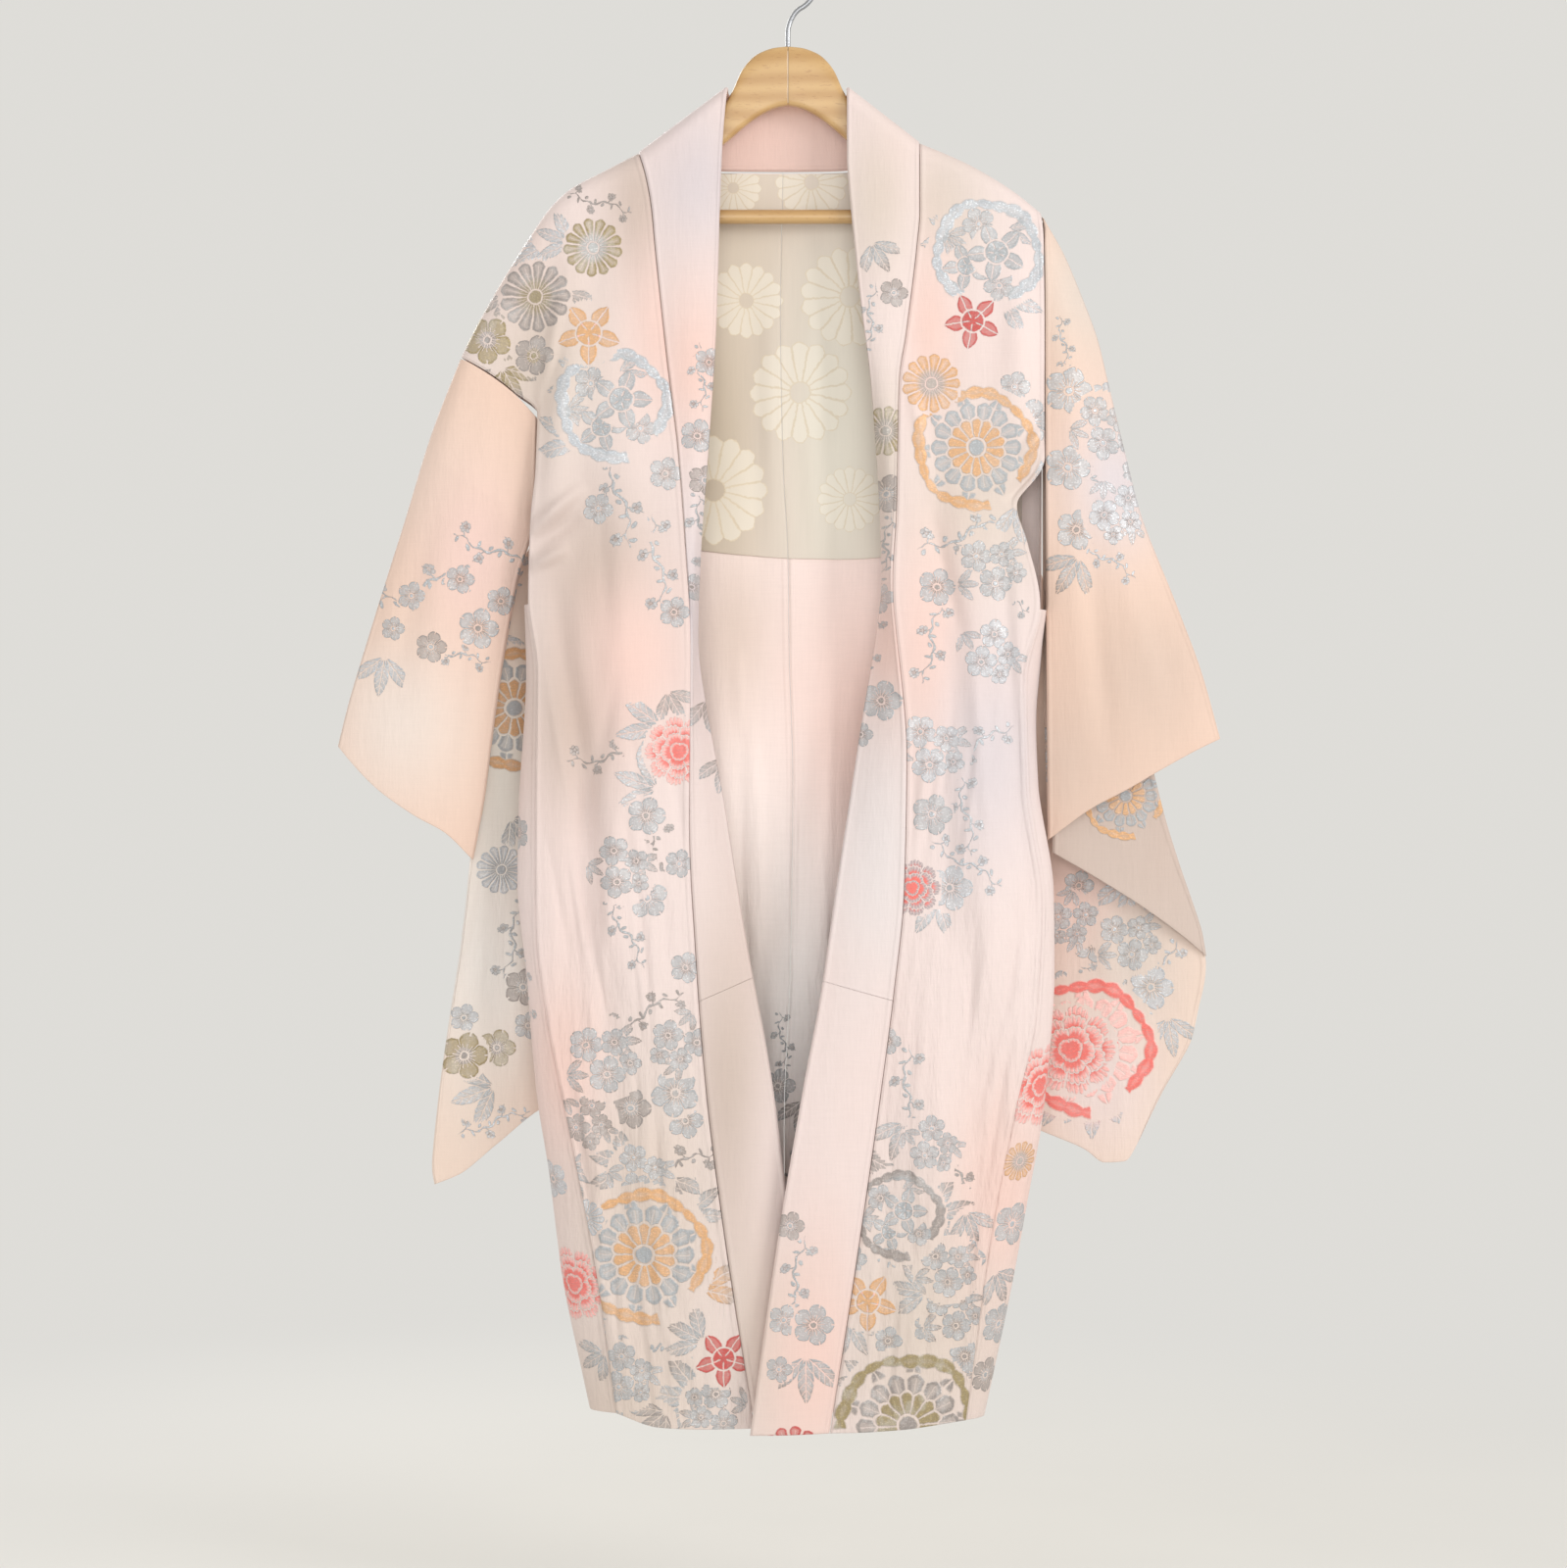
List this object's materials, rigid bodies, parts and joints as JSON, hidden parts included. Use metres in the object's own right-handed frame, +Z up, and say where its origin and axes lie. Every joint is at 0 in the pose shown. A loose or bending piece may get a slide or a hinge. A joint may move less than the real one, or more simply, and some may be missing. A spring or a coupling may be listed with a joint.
{
  "type": "haori on a hanger",
  "caption": "Silk haori, a hip-length open kimono coat with wide hanging sleeves and a turned collar band, hung on a wooden hanger with a wire hook.",
  "frame": {"origin": "the inner top of the hook's bowl, where the rail that holds the hanger passes", "axes": "+Z up; +X towards the wearer's left, which is on the viewer's right; -Y is the front of the coat"},
  "size_m": [0.7061, 0.0903, 1.1787],
  "materials": {
    "silk": "pale pink figured silk with woven metallic flowers",
    "satin_lining": "cream satin with tone-on-tone chrysanthemums",
    "beech": "clear satin lacquer",
    "steel_wire": "bright zinc"
  },
  "bodies": {
    "root": {"front_right": "silk", "front_left": "silk", "back_right": "silk", "back_left": "silk", "gusset_right": "silk", "gusset_left": "silk", "collar_back": "silk", "collar_right_upper": "silk", "collar_right_lower": "silk", "collar_left_upper": "silk", "collar_left_lower": "silk", "lining_right": "satin_lining", "lining_left": "satin_lining", "sleeve_right_front": "silk", "sleeve_right_back": "silk", "sleeve_right_bag_front": "silk", "sleeve_right_bag_back": "silk", "sleeve_left_front": "silk", "sleeve_left_back": "silk", "sleeve_left_corner": "silk", "sleeve_left_bag_front": "silk", "sleeve_left_bag_back": "silk", "hanger_arm_right": "beech", "hanger_arm_left": "beech", "hanger_bar": "beech", "hanger_hook": "steel_wire"}
  },
  "joints": []
}
